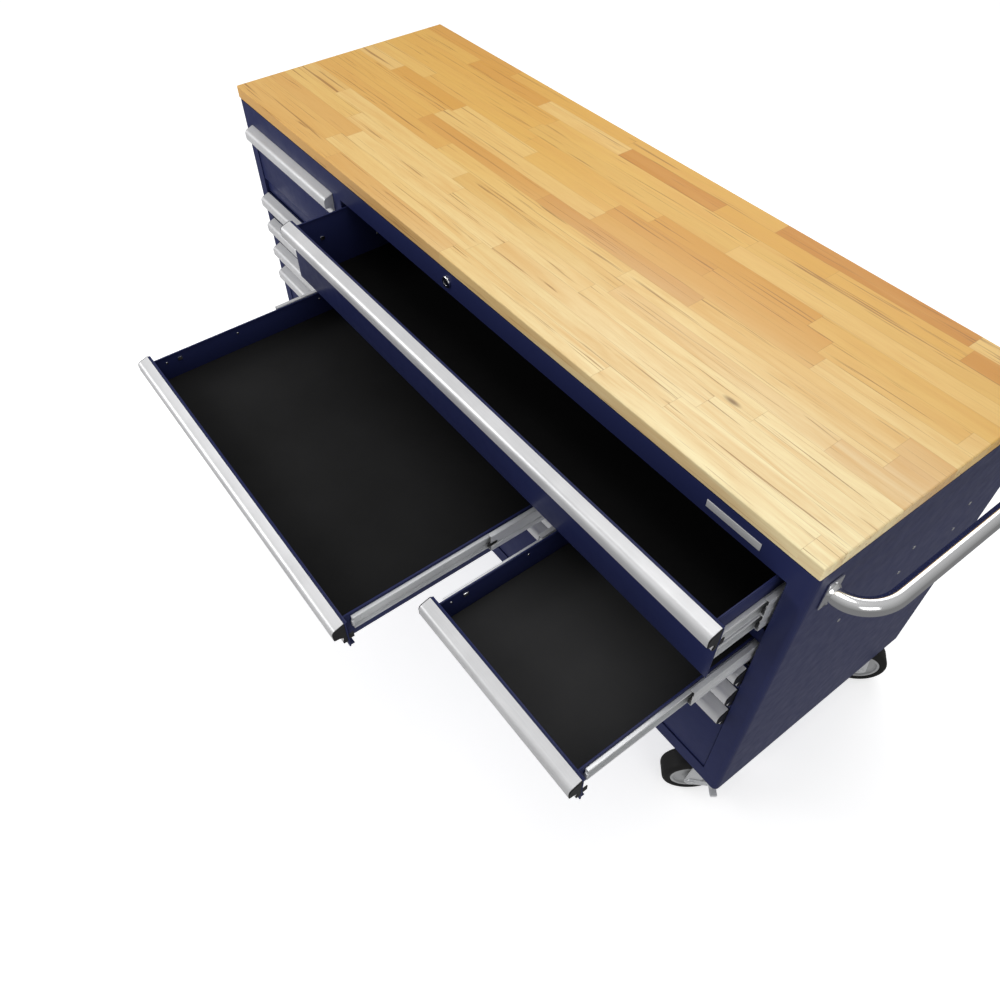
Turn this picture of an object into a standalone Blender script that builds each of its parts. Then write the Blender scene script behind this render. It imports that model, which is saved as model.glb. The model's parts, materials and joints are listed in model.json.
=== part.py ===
"""Mobile steel workbench: a wooden work surface on a drawer cabinet with casters and a push handle.

Metres, +Z up. The bench frame has x from the cabinet's left side, y back from its front face and
z up from the floor. One empty carries that frame, so the world origin is under the middle of the
box around the bench with its three open drawers.
"""

import math

import bmesh
import bpy
from mathutils import Vector

# Overall sizes
WIDTH = 1.829
DEPTH = 0.6096
BODY_HEIGHT = 0.773
WOOD_THICKNESS = 0.030
CASTER_HEIGHT = 0.165
STEEL_TOP = CASTER_HEIGHT + BODY_HEIGHT
SHEET = 0.0015
GAP = 0.0003
CORNER_RADIUS = 0.012

# Front layout: drawer bank edges from the left side, and row tops below the steel top
POST = 0.044
SIDE_BANK = 0.404
MULLION = 0.040
LEFT_BANK = (POST, POST + SIDE_BANK)
RIGHT_BANK = (WIDTH - POST - SIDE_BANK, WIDTH - POST)
CENTRE_BANK = (LEFT_BANK[1] + MULLION, RIGHT_BANK[0] - MULLION)
WIDE_BANK = (CENTRE_BANK[0], RIGHT_BANK[1])
FIRST_ROW = 0.0525
SECOND_ROW = FIRST_ROW + 0.185
ROW_PITCH = 0.077
ROWS = [FIRST_ROW] + [SECOND_ROW + step * ROW_PITCH for step in range(4)]
TOP_RAIL = 0.051
BOTTOM_RAIL = 0.731
CROSS_RAIL = (0.199, 0.2355)
CROSS_RAIL_SETBACK = 0.008
CROSS_RAIL_THICKNESS = 0.003
FRONT_CLEARANCE = 0.0015

# Drawers
TRAVEL = 0.520
CLOSED_FRONT = 0.002
OPEN_BY = {"wide_drawer": 0.132, "centre_drawer_1": TRAVEL, "right_drawer_1": 0.375}
PANEL_THICKNESS = 0.003
PANEL_TOP = 0.001
TOP_PANEL_HEIGHT = 0.1445
SMALL_PANEL_HEIGHT = 0.0735
TALL_PANEL_HEIGHT = 0.2595
SIDE_SPACE = 0.017
BOX_DEPTH = 0.550
BOX_TOP = 0.006
BOX_LIFT = 0.003

# Drawer pull section: depth forward of the front panel, and heights below the pull's top edge
PULL_DEPTH = 0.0245
PULL_RIDGE = (0.014, 0.005)
PULL_NOSE = 0.016
PULL_HEIGHT = 0.055
SCOOP_START = (0.0205, 0.0325)
SCOOP_END = (0.006, 0.0405)

# Drawer slides: the middle member of the telescopic pair
SLIDE_INSET = 0.006
SLIDE_THICKNESS = 0.005
SLIDE_START = 0.048
SLIDE_LENGTH = 0.490
SLIDE_HEIGHT = 0.032
SLIDE_DROP = 0.007
WIDE_SLIDE_DROP = 0.041

# Push handle on the right side
HANDLE_RADIUS = 0.016
HANDLE_OFFSET = 0.067
HANDLE_BEND = (0.062, 0.075)
HANDLE_INSET = 0.0535
HANDLE_DROP = 0.071
FLANGE_HALF = (0.018, 0.034)
FLANGE_THICKNESS = 0.003

# Lock
LOCK_X = 0.9118
LOCK_DROP = 0.026
LOCK_RADIUS = 0.0125
LOCK_BARREL = 0.0095
PLUG_RADIUS = 0.0068

# Casters
WHEEL_RADIUS = 0.0635
WHEEL_SIDES = 32
AXLE_HEIGHT = WHEEL_RADIUS * math.cos(math.pi / WHEEL_SIDES)
WHEEL_HALF = 0.0254
AXLE_RADIUS = 0.006
FORK_INNER = 0.0285
FORK_OUTER = 0.0325
FORK_TOP = 0.146
FORK_BRIDGE = 0.1385
PLATE_BOTTOM = 0.160
PLATE_HALF = (0.052, 0.045)
TRAIL = 0.040
CASTER_INSET = (0.065, 0.070)
FIXED_CASTER_INSET = 0.085
FRONT_SWIVEL = math.radians(52)
REAR_SWIVEL = math.radians(223)
PEDAL_EYE = 0.012
PEDAL_THICKNESS = 0.003
PEDAL_REACH = 0.026

OUTER_REACH = HANDLE_OFFSET + HANDLE_RADIUS
FRONT_REACH = TRAVEL - CLOSED_FRONT + PULL_DEPTH + GAP
# The turned rear caster's wheel reaches a little past the back
REAR_OVERHANG = 0.01524
BENCH_ORIGIN = (-(WIDTH + OUTER_REACH) / 2, (FRONT_REACH - DEPTH - REAR_OVERHANG) / 2, 0)


def clear_scene():
    for obj in list(bpy.data.objects):
        bpy.data.objects.remove(obj, do_unlink=True)


def new_collection(name, rendered=True):
    collection = bpy.data.collections.new(name)
    collection.hide_render = not rendered
    bpy.context.scene.collection.children.link(collection)
    return collection


def paint(name, colour, roughness, metallic=0.0):
    material = bpy.data.materials.new(name)
    material.use_nodes = True
    shader = material.node_tree.nodes["Principled BSDF"]
    shader.inputs["Base Color"].default_value = (*colour, 1)
    shader.inputs["Roughness"].default_value = roughness
    shader.inputs["Metallic"].default_value = metallic
    material.diffuse_color = (*colour, 1)
    return material


clear_scene()
PARTS = new_collection("workbench_with_drawers")
CUTTERS = new_collection("cutters", rendered=False)
NAVY = paint("navy_paint", (0.030, 0.036, 0.085), 0.22, 0.2)
ALUMINIUM = paint("pull_aluminium", (0.80, 0.81, 0.83), 0.25, 1.0)
ZINC = paint("slide_zinc", (0.62, 0.63, 0.66), 0.32, 1.0)
CHROME = paint("chrome", (0.86, 0.87, 0.88), 0.08, 1.0)
TIMBER = paint("timber", (0.80, 0.62, 0.36), 0.45)
RUBBER = paint("wheel_rubber", (0.02, 0.02, 0.022), 0.6)
FORK_STEEL = paint("fork_steel", (0.66, 0.67, 0.70), 0.3, 1.0)


def new_empty(name, location, parent=None, angle=0.0):
    empty = bpy.data.objects.new(name, None)
    empty.location = location
    empty.rotation_euler = (0, 0, angle)
    empty.parent = parent
    PARTS.objects.link(empty)
    return empty


def place(name, data, material, parent, location=(0, 0, 0), rotation=(0, 0, 0)):
    obj = bpy.data.objects.new(name, data)
    obj.location = location
    obj.rotation_euler = rotation
    obj.parent = parent
    if material is None:
        obj.hide_render = True
        obj.display_type = "WIRE"
        CUTTERS.objects.link(obj)
    else:
        data.materials.append(material)
        PARTS.objects.link(obj)
    return obj


def finished(mesh_name, work):
    mesh = bpy.data.meshes.new(mesh_name)
    work.to_mesh(mesh)
    work.free()
    return mesh


def box(name, low, high, material, parent):
    """A block between two corners. With no material it is a cutter."""
    work = bmesh.new()
    bmesh.ops.create_cube(work, size=1.0)
    bmesh.ops.scale(work, vec=Vector(high) - Vector(low), verts=work.verts)
    centre = (Vector(high) + Vector(low)) / 2
    return place(name, finished(name, work), material, parent, centre)


def open_box(name, low, high, open_axis, material, parent):
    """A box of sheet metal whose face on one side, +Z or -Z, is left open."""
    obj = box(name, low, high, material, parent)
    work = bmesh.new()
    work.from_mesh(obj.data)
    work.normal_update()
    gone = [face for face in work.faces if face.normal.z * open_axis > 0.5]
    bmesh.ops.delete(work, geom=gone, context="FACES_ONLY")
    work.to_mesh(obj.data)
    work.free()
    sheet = obj.modifiers.new("sheet", "SOLIDIFY")
    sheet.thickness = SHEET
    sheet.use_even_offset = True
    return obj


def cylinder(name, radius, start, end, material, parent, sides=24):
    """A round bar between two points."""
    work = bmesh.new()
    run = Vector(end) - Vector(start)
    bmesh.ops.create_cone(
        work, cap_ends=True, segments=sides, radius1=radius, radius2=radius, depth=run.length
    )
    turn = run.to_track_quat("Z", "Y").to_euler()
    obj = place(name, finished(name, work), material, parent, (Vector(start) + Vector(end)) / 2, turn)
    smooth(obj)
    return obj


def smooth(obj, angle=35):
    obj.data.shade_smooth()
    obj.data.set_sharp_from_angle(angle=math.radians(angle))


def combine(obj, operation, other):
    step = obj.modifiers.new(other.name, "BOOLEAN")
    step.operation = operation
    step.object = other
    step.solver = "EXACT"


def bevel(obj, width, segments=2):
    edge = obj.modifiers.new("edges", "BEVEL")
    edge.width = width
    edge.segments = segments
    edge.limit_method = "ANGLE"


def outline(name, points, half_width, material, parent, location, rotation):
    """A flat outline, extruded half_width to each side."""
    curve = bpy.data.curves.new(name, "CURVE")
    curve.dimensions = "2D"
    curve.fill_mode = "BOTH"
    curve.extrude = half_width
    spline = curve.splines.new("POLY")
    spline.points.add(len(points) - 1)
    for point, (across, up) in zip(spline.points, points):
        point.co = (across, up, 0, 1)
    spline.use_cyclic_u = True
    return place(name, curve, material, parent, location, rotation)


def as_mesh(obj):
    """The same shape as a closed mesh object, so that it can be cut."""
    bpy.context.view_layer.update()
    graph = bpy.context.evaluated_depsgraph_get()
    mesh = bpy.data.meshes.new_from_object(obj.evaluated_get(graph))
    work = bmesh.new()
    work.from_mesh(mesh)
    bmesh.ops.remove_doubles(work, verts=work.verts, dist=0.00001)
    bmesh.ops.recalc_face_normals(work, faces=work.faces)
    work.to_mesh(mesh)
    work.free()
    name, parent, matrix = obj.name, obj.parent, obj.matrix_world.copy()
    bpy.data.objects.remove(obj, do_unlink=True)
    solid = bpy.data.objects.new(name, mesh)
    PARTS.objects.link(solid)
    solid.parent = parent
    solid.matrix_world = matrix
    return solid


def turned(name, profile, sides, material, parent, location, rotation):
    """A closed profile of (radius, height) points turned a full circle about the local Z axis."""
    work = bmesh.new()
    points = [work.verts.new((radius, 0, height)) for radius, height in profile]
    for first, second in zip(points, points[1:] + points[:1]):
        work.edges.new((first, second))
    obj = place(name, finished(name, work), material, parent, location, rotation)
    screw = obj.modifiers.new("turn", "SCREW")
    screw.steps = sides
    screw.render_steps = sides
    screw.use_merge_vertices = True
    screw.merge_threshold = 0.00001
    screw.use_smooth_shade = False
    return obj


def arc(centre, radii, start, end, steps):
    """Points on an ellipse between two angles in degrees."""
    angles = [math.radians(start + (end - start) * step / steps) for step in range(steps + 1)]
    return [(centre[0] + radii[0] * math.cos(a), centre[1] + radii[1] * math.sin(a)) for a in angles]


def build_shell(bench):
    """Front frame and outer sides: one bent sheet with the drawer openings cut out."""
    left_corner = arc((CORNER_RADIUS, CORNER_RADIUS), (CORNER_RADIUS,) * 2, 180, 270, 6)
    right_corner = [(WIDTH - x, y) for x, y in reversed(left_corner)]
    back = DEPTH
    path = [(0, back)] + left_corner + right_corner + [(WIDTH, back)]
    work = bmesh.new()
    points = [work.verts.new((x, y, 0)) for x, y in path]
    edges = [work.edges.new(pair) for pair in zip(points, points[1:])]
    raised = bmesh.ops.extrude_edge_only(work, edges=edges)
    top = [item for item in raised["geom"] if isinstance(item, bmesh.types.BMVert)]
    bmesh.ops.translate(work, vec=(0, 0, BODY_HEIGHT), verts=top)
    work.normal_update()
    front = min(work.faces, key=lambda face: face.calc_center_median().y)
    if front.normal.y > 0:
        bmesh.ops.reverse_faces(work, faces=work.faces)
    shell = place("cabinet_shell", finished("cabinet_shell", work), NAVY, bench, (0, 0, CASTER_HEIGHT))
    sheet = shell.modifiers.new("sheet", "SOLIDIFY")
    sheet.thickness = SHEET
    sheet.use_even_offset = True
    openings = [
        ("left_bank_opening", LEFT_BANK, TOP_RAIL, BOTTOM_RAIL),
        ("wide_opening", WIDE_BANK, TOP_RAIL, CROSS_RAIL[0]),
        ("centre_bank_opening", CENTRE_BANK, CROSS_RAIL[0] - 0.01, BOTTOM_RAIL),
        ("right_bank_opening", RIGHT_BANK, CROSS_RAIL[0] - 0.01, BOTTOM_RAIL),
    ]
    for name, (left, right), top_drop, bottom_drop in openings:
        low = (left - FRONT_CLEARANCE, -0.01, STEEL_TOP - bottom_drop)
        high = (right + FRONT_CLEARANCE, 0.01, STEEL_TOP - top_drop)
        combine(shell, "DIFFERENCE", box(name, low, high, None, bench))
    lock_z = STEEL_TOP - LOCK_DROP
    hole = cylinder(
        "lock_hole", LOCK_BARREL + GAP, (LOCK_X, 0.01, lock_z), (LOCK_X, -0.01, lock_z), None, bench
    )
    combine(shell, "DIFFERENCE", hole)
    return shell


def build_inner_walls(bench):
    """Hollow walls that carry the slides, the back, the floor pan and the recessed cross rails."""
    inner = SHEET + GAP
    floor_top = CASTER_HEIGHT + 2 * SHEET
    wall_bottom = floor_top + GAP
    wall_top = STEEL_TOP - GAP
    back = DEPTH - SHEET - GAP
    left_edge = LEFT_BANK[0] - FRONT_CLEARANCE
    right_edge = RIGHT_BANK[1] + FRONT_CLEARANCE
    low_top = STEEL_TOP - CROSS_RAIL[1] - GAP
    walls = [
        ("side_wall_left", inner, left_edge, wall_top),
        ("side_wall_right", right_edge, WIDTH - inner, wall_top),
        ("partition_left", LEFT_BANK[1] + FRONT_CLEARANCE, CENTRE_BANK[0] - FRONT_CLEARANCE, wall_top),
        ("partition_right", CENTRE_BANK[1] + FRONT_CLEARANCE, RIGHT_BANK[0] - FRONT_CLEARANCE, low_top),
    ]
    corner = CORNER_RADIUS + GAP
    outside = (-0.01, CASTER_HEIGHT - 0.01)
    corners = [
        box(f"{side}_corner", (x, outside[0], outside[1]), (x + 2 * corner, corner, 1), None, bench)
        for side, x in (("left", -corner), ("right", WIDTH - corner))
    ]
    for name, left, right, top in walls:
        wall = open_box(name, (left, inner, wall_bottom), (right, back, top), -1, NAVY, bench)
        for side, cutter in zip(("side_wall_left", "side_wall_right"), corners):
            if name == side:
                combine(wall, "DIFFERENCE", cutter)
    box("back_panel", (inner, DEPTH - SHEET, wall_bottom), (WIDTH - inner, DEPTH, wall_top), NAVY, bench)

    pan = box(
        "floor_pan", (inner, inner, CASTER_HEIGHT), (WIDTH - inner, back, floor_top), NAVY, bench
    )
    for name, x, y in caster_places():
        low = (x - PLATE_HALF[0], y - PLATE_HALF[1], PLATE_BOTTOM)
        high = (x + PLATE_HALF[0], y + PLATE_HALF[1], CASTER_HEIGHT + SHEET)
        combine(pan, "UNION", box(name + "_plate", low, high, None, bench))
    for cutter in corners:
        combine(pan, "DIFFERENCE", cutter)

    rails = [("cross_rail_left", LEFT_BANK), ("cross_rail_right", WIDE_BANK)]
    for name, (left, right) in rails:
        side = FRONT_CLEARANCE - GAP
        low = (left - side, CROSS_RAIL_SETBACK, STEEL_TOP - CROSS_RAIL[1])
        high = (right + side, CROSS_RAIL_SETBACK + CROSS_RAIL_THICKNESS, STEEL_TOP - CROSS_RAIL[0])
        box(name, low, high, NAVY, bench)


def build_wood_top(bench):
    low = (0, 0, STEEL_TOP + GAP)
    high = (WIDTH, DEPTH, STEEL_TOP + WOOD_THICKNESS)
    bevel(box("wood_top", low, high, TIMBER, bench), 0.0025)


def build_lock(bench):
    """A round lock in the top rail: a fixed housing, and a plug that the key turns."""
    centre = (LOCK_X, 0, STEEL_TOP - LOCK_DROP)
    facing_back = (math.radians(-90), 0, 0)
    housing = [
        (PLUG_RADIUS + GAP, 0.020),
        (LOCK_BARREL, 0.020),
        (LOCK_BARREL, -GAP),
        (LOCK_RADIUS, -GAP),
        (LOCK_RADIUS, -0.0025),
        (LOCK_RADIUS - 0.0015, -0.004),
        (PLUG_RADIUS + GAP, -0.004),
    ]
    turned("lock_housing", housing, 24, CHROME, bench, centre, facing_back)
    front = (centre[0], -0.0045, centre[2])
    rear = (centre[0], 0.024, centre[2])
    plug = cylinder("lock_plug", PLUG_RADIUS, rear, front, CHROME, bench, 20)
    slot_low = (centre[0] - 0.0007, -0.01, centre[2] - 0.0042)
    slot_high = (centre[0] + 0.0007, 0.004, centre[2] + 0.0042)
    combine(plug, "DIFFERENCE", box("key_slot", slot_low, slot_high, None, bench))


def pull_profile():
    """Section of a drawer pull, seen from the bench's right end: forward is negative."""
    ridge_forward, ridge_drop = PULL_RIDGE
    brow = arc(
        (-ridge_forward, -PULL_NOSE), (PULL_DEPTH - ridge_forward, PULL_NOSE - ridge_drop), 90, 180, 4
    )
    scoop = arc(
        (-SCOOP_START[0], -SCOOP_END[1]),
        (SCOOP_START[0] - SCOOP_END[0], SCOOP_END[1] - SCOOP_START[1]),
        90,
        0,
        4,
    )
    nose = [(-PULL_DEPTH + 0.001, -0.027), (-PULL_DEPTH + 0.0025, -0.0315)]
    lip = [
        (-SCOOP_END[0], -0.046),
        (-0.008, -0.050),
        (-0.008, -0.0535),
        (-0.0065, -PULL_HEIGHT),
    ]
    return [(0, 0)] + brow + nose + scoop + lip + [(0, -PULL_HEIGHT)]


def drawer_list():
    """Name, bank and row of every drawer, with the height of its front panel."""
    heights = [TOP_PANEL_HEIGHT] + [SMALL_PANEL_HEIGHT] * 3 + [TALL_PANEL_HEIGHT]
    drawers = [(f"left_drawer_{row + 1}", LEFT_BANK, ROWS[row], heights[row]) for row in range(5)]
    drawers.append(("wide_drawer", WIDE_BANK, ROWS[0], heights[0]))
    for bank_name, bank in (("centre", CENTRE_BANK), ("right", RIGHT_BANK)):
        for row in range(1, 5):
            drawers.append((f"{bank_name}_drawer_{row}", bank, ROWS[row], heights[row]))
    return drawers


def build_drawer(bench, name, bank, row, panel_height):
    """A drawer carried by an empty at the left end of its pull's top rear edge."""
    width = bank[1] - bank[0]
    opened = OPEN_BY.get(name, 0.0)
    rail = new_empty(name, (bank[0], CLOSED_FRONT - opened, STEEL_TOP - row), bench)
    bottom = -panel_height + BOX_LIFT
    box_low = (SIDE_SPACE, PANEL_THICKNESS - 0.001, bottom)
    box_high = (width - SIDE_SPACE, PANEL_THICKNESS - 0.001 + BOX_DEPTH, -BOX_TOP)
    tray = open_box(name + "_box", box_low, box_high, 1, NAVY, rail)
    panel_low = (0, 0, -panel_height)
    panel_high = (width, PANEL_THICKNESS, -PANEL_TOP)
    combine(tray, "UNION", box(name + "_front", panel_low, panel_high, None, rail))
    along_x = (math.radians(90), 0, math.radians(90))
    middle = (width / 2, -GAP, 0)
    outline(name + "_pull", pull_profile(), width / 2, ALUMINIUM, rail, middle, along_x)


def build_slides(bench):
    """Middle members of the slides of the open drawers, half as far out as their drawer."""
    banks = {name: (bank, row) for name, bank, row, _ in drawer_list()}
    for name, opened in OPEN_BY.items():
        bank, row = banks[name]
        drop = WIDE_SLIDE_DROP if name == "wide_drawer" else SLIDE_DROP
        top = STEEL_TOP - row - drop
        front = CLOSED_FRONT + SLIDE_START - opened / 2
        inner = SLIDE_INSET + SLIDE_THICKNESS
        sides = [
            ("left", bank[0] + SLIDE_INSET, bank[0] + inner),
            ("right", bank[1] - inner, bank[1] - SLIDE_INSET),
        ]
        for side, left, right in sides:
            carrier = new_empty(f"{name}_slide_{side}_carrier", (left, front, top), bench)
            size = (right - left, SLIDE_LENGTH, 0)
            box(f"{name}_slide_{side}", (0, 0, -SLIDE_HEIGHT), size, ZINC, carrier)


def build_push_handle(bench):
    """A chrome tube along the right side, out from one flange and back to the other."""
    height = STEEL_TOP - HANDLE_DROP
    ends = (HANDLE_INSET, DEPTH - HANDLE_INSET)
    start = GAP + FLANGE_THICKNESS + GAP
    quarter = arc((HANDLE_OFFSET - HANDLE_BEND[0], HANDLE_BEND[1]), HANDLE_BEND, -90, 0, 10)
    near = [(start, ends[0])] + [(across, ends[0] + back) for across, back in quarter]
    far = [(across, ends[0] + ends[1] - back) for across, back in reversed(near)]
    curve = bpy.data.curves.new("push_handle", "CURVE")
    curve.dimensions = "3D"
    curve.bevel_depth = HANDLE_RADIUS
    curve.bevel_resolution = 3
    curve.use_fill_caps = True
    path = near + far
    spline = curve.splines.new("POLY")
    spline.points.add(len(path) - 1)
    for point, (across, back) in zip(spline.points, path):
        point.co = (across, back, 0, 1)
    place("push_handle", curve, CHROME, bench, (WIDTH, 0, height))
    across, tall = FLANGE_HALF
    for name, back in (("handle_flange_front", ends[0]), ("handle_flange_rear", ends[1])):
        low = (WIDTH + GAP, back - across, height - tall)
        high = (WIDTH + GAP + FLANGE_THICKNESS, back + across, height + tall)
        box(name, low, high, CHROME, bench)


def caster_places():
    side, near = CASTER_INSET
    far = DEPTH - near
    return [
        ("caster_front_left", FIXED_CASTER_INSET, near),
        ("caster_rear_left", FIXED_CASTER_INSET, far),
        ("caster_front_right", WIDTH - side, near),
        ("caster_rear_right", WIDTH - side, far),
    ]


def fork_points(trail):
    """Side outline of a fork, whose trail runs to -X."""
    eye = arc((-trail, AXLE_HEIGHT), (0.017, 0.017), -50, -180, 6)
    return [(0.034, FORK_TOP)] + eye + [(-0.034 - trail * 0.25, FORK_TOP)]


def build_fork(name, carrier, trail):
    upright = (math.radians(90), 0, 0)
    points = fork_points(trail)
    fork = as_mesh(outline(name + "_fork", points, FORK_OUTER, FORK_STEEL, carrier, (0, 0, 0), upright))
    channel_low = (-0.2, -FORK_INNER, 0)
    channel_high = (0.2, FORK_INNER, FORK_BRIDGE)
    combine(fork, "DIFFERENCE", box(name + "_channel", channel_low, channel_high, None, carrier))
    head_start = (0, 0, FORK_TOP - 0.002)
    head_end = (0, 0, PLATE_BOTTOM - GAP)
    combine(fork, "UNION", cylinder(name + "_head", 0.030, head_start, head_end, None, carrier))
    reach = FORK_OUTER + PEDAL_THICKNESS + 0.003
    near, far = (-trail, -reach, AXLE_HEIGHT), (-trail, reach, AXLE_HEIGHT)
    combine(fork, "UNION", cylinder(name + "_axle", AXLE_RADIUS, near, far, None, carrier, 16))


def build_wheel(name, carrier, trail):
    """A tyre and hub in one, turned about its axle, with a flat of its rim on the floor."""
    bore = AXLE_RADIUS + GAP
    shoulder = 0.009
    flat = WHEEL_HALF - shoulder
    tread = arc((WHEEL_RADIUS - shoulder, flat), (shoulder, shoulder), 0, 90, 4)
    half = tread + [(0.042, WHEEL_HALF), (0.036, 0.018), (0.020, 0.018), (0.014, WHEEL_HALF)]
    top_half = half + [(bore, WHEEL_HALF)]
    profile = list(reversed(top_half)) + [(radius, -height) for radius, height in top_half]
    facing_front = (math.radians(90), math.radians(180) / WHEEL_SIDES, 0)
    place_at = (-trail, 0, AXLE_HEIGHT)
    turned(name + "_wheel", profile, WHEEL_SIDES, RUBBER, carrier, place_at, facing_front)


def build_pedal(name, carrier):
    """The side brake: a lever on the end of the axle bolt, with a foot tab bent outwards."""
    inner = -FORK_OUTER - GAP
    outer = inner - PEDAL_THICKNESS
    eye = arc((-TRAIL, AXLE_HEIGHT), (PEDAL_EYE, PEDAL_EYE), 60, 285, 10)
    points = eye + [(0.002, AXLE_HEIGHT - 0.019), (0.018, AXLE_HEIGHT - 0.019), (0.018, AXLE_HEIGHT - 0.015)]
    points += [(0.002, AXLE_HEIGHT - 0.004)]
    half = PEDAL_THICKNESS / 2
    upright = (math.radians(90), 0, 0)
    middle = (0, inner - half, 0)
    pedal = as_mesh(outline(name + "_brake", points, half, FORK_STEEL, carrier, middle, upright))
    tab_low = (0.001, outer - PEDAL_REACH, AXLE_HEIGHT - 0.019)
    tab_high = (0.018, outer + half, AXLE_HEIGHT - 0.016)
    combine(pedal, "UNION", box(name + "_tab", tab_low, tab_high, None, carrier))
    near, far = (-TRAIL, outer - 0.01, AXLE_HEIGHT), (-TRAIL, inner + 0.01, AXLE_HEIGHT)
    combine(pedal, "DIFFERENCE", cylinder(name + "_eye", AXLE_RADIUS + GAP, near, far, None, carrier, 16))


def build_casters(bench):
    """Two fixed casters on the left, and two swivel casters with brakes at the push handle's end."""
    turns = {"caster_front_right": FRONT_SWIVEL, "caster_rear_right": REAR_SWIVEL}
    for name, x, y in caster_places():
        trail = TRAIL if name in turns else 0.0
        carrier = new_empty(name, (x, y, 0), bench, turns.get(name, 0.0))
        build_fork(name, carrier, trail)
        build_wheel(name, carrier, trail)
        if trail:
            build_pedal(name, carrier)


def main():
    bench = new_empty("workbench", BENCH_ORIGIN)
    build_shell(bench)
    build_inner_walls(bench)
    build_wood_top(bench)
    build_lock(bench)
    for drawer in drawer_list():
        build_drawer(bench, *drawer)
    build_slides(bench)
    build_push_handle(bench)
    build_casters(bench)


main()
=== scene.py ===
"""The looks of the workbench with drawers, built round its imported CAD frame.

Metres, in the frame's own axes: -Y is the drawer front, +X the push handle's side, +Z up.
"""

import json
import math

import bmesh
import bpy
from mathutils import Matrix, Vector


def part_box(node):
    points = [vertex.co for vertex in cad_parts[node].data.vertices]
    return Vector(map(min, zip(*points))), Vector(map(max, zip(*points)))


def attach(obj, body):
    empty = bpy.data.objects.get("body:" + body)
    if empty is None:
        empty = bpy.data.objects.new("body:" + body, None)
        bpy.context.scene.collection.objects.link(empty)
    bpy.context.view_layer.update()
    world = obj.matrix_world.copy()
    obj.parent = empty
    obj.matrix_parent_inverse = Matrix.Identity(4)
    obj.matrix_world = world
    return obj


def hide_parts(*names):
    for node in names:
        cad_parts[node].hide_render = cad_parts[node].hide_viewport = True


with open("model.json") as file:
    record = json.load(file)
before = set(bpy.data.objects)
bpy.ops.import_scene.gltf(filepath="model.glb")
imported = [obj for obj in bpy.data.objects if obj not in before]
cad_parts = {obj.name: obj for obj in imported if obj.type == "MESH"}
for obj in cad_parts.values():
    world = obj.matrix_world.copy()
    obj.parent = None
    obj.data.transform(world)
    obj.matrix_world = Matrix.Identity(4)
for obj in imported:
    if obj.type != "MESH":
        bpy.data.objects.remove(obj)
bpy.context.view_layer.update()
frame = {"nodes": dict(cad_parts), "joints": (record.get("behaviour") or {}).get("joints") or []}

SHELL_LOW, SHELL_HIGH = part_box("cabinet_shell")
WOOD_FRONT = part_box("wood_top")[0].y
LEFT, RIGHT = SHELL_LOW.x, SHELL_HIGH.x
FACE, BACK = SHELL_LOW.y, SHELL_HIGH.y
BODY_BOTTOM, STEEL_TOP = SHELL_LOW.z, SHELL_HIGH.z

GAP = 0.0003
SHEET = 0.0015
OPENING_CLEARANCE = 0.0015
PANEL_THICKNESS = 0.003
SIDE_SPACE = 0.017
PULL_CAP = 0.0022
LINER_THICKNESS = 0.0031
LINER_EDGE = 0.0012

LEFT_NAMES = [f"left_drawer_{row}" for row in range(1, 6)]
CENTRE_NAMES = [f"centre_drawer_{row}" for row in range(1, 5)]
RIGHT_NAMES = [f"right_drawer_{row}" for row in range(1, 5)]
DRAWERS = LEFT_NAMES + ["wide_drawer"] + CENTRE_NAMES + RIGHT_NAMES
OPEN_AT_REST = ("wide_drawer", "centre_drawer_1", "right_drawer_1")
FIXED_CASTERS = ("caster_front_left", "caster_rear_left")
SWIVEL_CASTERS = ("caster_front_right", "caster_rear_right")


# ---------------------------------------------------------------- materials


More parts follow.
